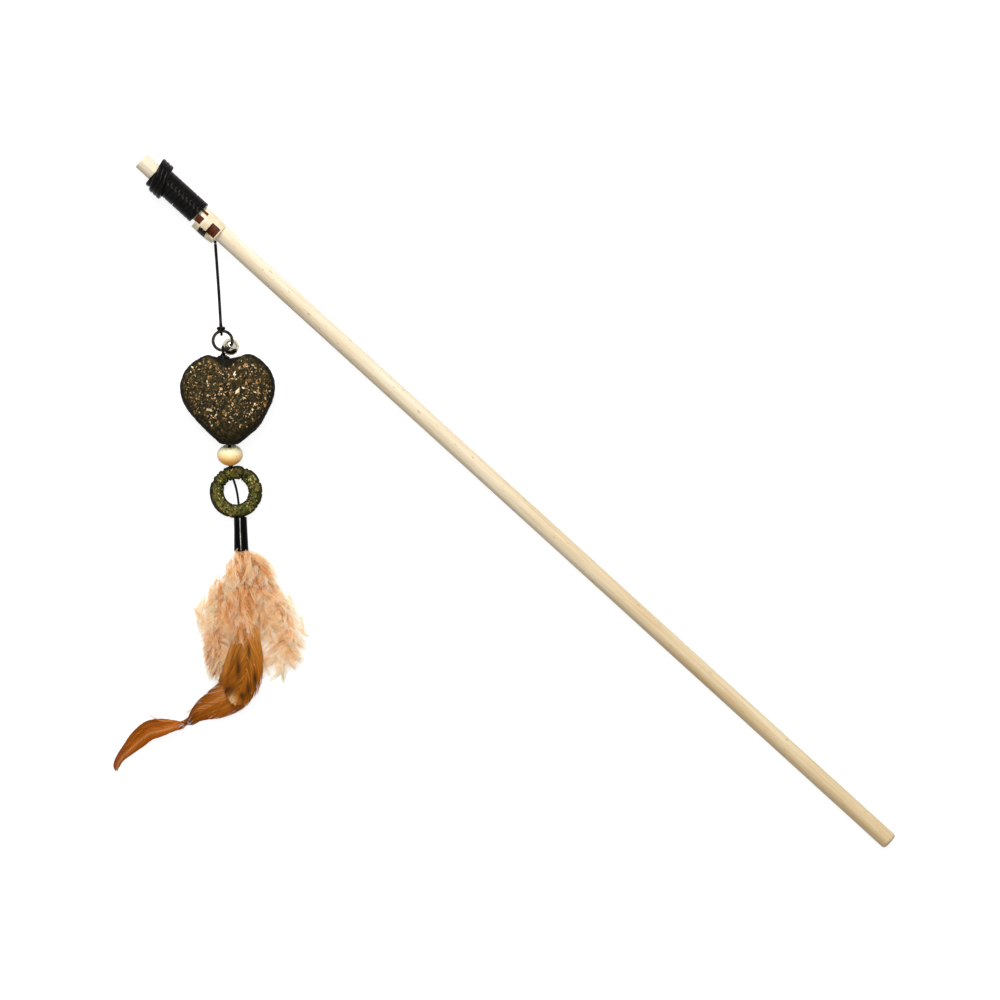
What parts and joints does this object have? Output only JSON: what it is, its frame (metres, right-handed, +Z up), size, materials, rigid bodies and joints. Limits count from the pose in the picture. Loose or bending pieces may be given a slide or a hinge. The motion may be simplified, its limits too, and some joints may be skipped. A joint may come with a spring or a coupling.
{
  "type": "cat teaser wand",
  "caption": "Cat teaser wand: a wooden stick with a corded tip, and a lure of split ring, bell, pressed heart, bead, pressed ring and feathers on a short cord.",
  "frame": {"origin": "on the table, under the middle of the box round the whole wand as it lies", "axes": "+X along the stick from its corded tip to its butt, +Y across the table away from the lure, +Z up from the table"},
  "size_m": [0.4, 0.1931, 0.014],
  "materials": {
    "pale_wood": "satin",
    "black_cord": "matte",
    "brown_stain": "satin",
    "steel_wire": "bright",
    "bell_metal": "bright",
    "pressed_heart": "rough",
    "pressed_ring": "rough",
    "bead_wood": "satin",
    "black_tube": "gloss",
    "glue": "satin",
    "hackle": "silky",
    "cream_down": "soft",
    "brown_plume": "silky"
  },
  "bodies": {
    "wand": {"dowel": "pale_wood", "whipping": "black_cord", "keeper_sleeve": "pale_wood", "window_glue": "brown_stain", "anchor_cord": "black_cord"},
    "cord_start": {"cord_exit_bend": "black_cord"},
    "cord": {"free_cord": "black_cord", "cord_knot": "black_cord"},
    "split_ring": {"split_ring": "steel_wire"},
    "bell": {"bell_dome": "bell_metal", "bell_cup": "bell_metal", "bell_eye": "bell_metal"},
    "bell_pellet": {"bell_pellet": "bell_metal"},
    "heart": {"catnip_heart": "pressed_heart", "heart_cord": "black_cord"},
    "bead_cord": {"bead_cord": "black_cord", "bead_knot": "black_cord"},
    "bead": {"wooden_bead": "bead_wood"},
    "catnip_ring": {"catnip_ring": "pressed_ring", "ring_cord": "black_cord"},
    "tassel": {"ferrule": "black_tube", "tassel_cord": "black_cord", "glue_plug": "glue", "hackle_feather": "hackle", "down_feather_left": "cream_down", "down_feather_right": "cream_down", "brown_feather": "brown_plume"}
  },
  "joints": [
    {"name": "cord_swing", "type": "hinge", "parent": "wand", "child": "cord_start", "pos_m": [-0.15681, 0.08535, 0.00661], "axis": [0, 0, 1], "range_deg": [-50, 8]},
    {"name": "lure_lift", "type": "hinge", "parent": "cord_start", "child": "cord", "pos_m": [-0.15681, 0.08535, 0.00661], "axis": [-0.6909, -0.723, 0], "range_deg": [0, 60]},
    {"name": "split_ring_swing", "type": "hinge", "parent": "cord", "child": "split_ring", "pos_m": [-0.13121, 0.06089, 0.00825], "axis": [0, 0, 1], "range_deg": [-25, 25]},
    {"name": "bell_slide_round_ring", "type": "hinge", "parent": "split_ring", "child": "bell", "pos_m": [-0.1283, 0.05853, 0.00825], "axis": [0, 0, 1], "range_deg": [0, 75]},
    {"name": "bell_pellet_rattle", "type": "slide", "parent": "bell", "child": "bell_pellet", "axis": [0, 0, 1], "range_m": [0, 0.0026]},
    {"name": "heart_swing", "type": "hinge", "parent": "split_ring", "child": "heart", "pos_m": [-0.12569, 0.05584, 0.00825], "axis": [0, 0, 1], "range_deg": [-20, 20]},
    {"name": "bead_cord_swing", "type": "hinge", "parent": "heart", "child": "bead_cord", "pos_m": [-0.09887, 0.03003, 0.007], "axis": [0, 0, 1], "range_deg": [-8, 8]},
    {"name": "bead_spin", "type": "hinge", "parent": "bead_cord", "child": "bead", "pos_m": [-0.09887, 0.03003, 0.007], "axis": [0.6334, -0.6334, -0.4444], "continuous": true},
    {"name": "catnip_ring_swing", "type": "hinge", "parent": "bead_cord", "child": "catnip_ring", "pos_m": [-0.0926, 0.02376, 0.0026], "axis": [0, 0, 1], "range_deg": [-20, 20]},
    {"name": "tassel_swing", "type": "hinge", "parent": "catnip_ring", "child": "tassel", "pos_m": [-0.07626, 0.01189, 0.0026], "axis": [0, 0, 1], "range_deg": [-15, 15]}
  ]
}
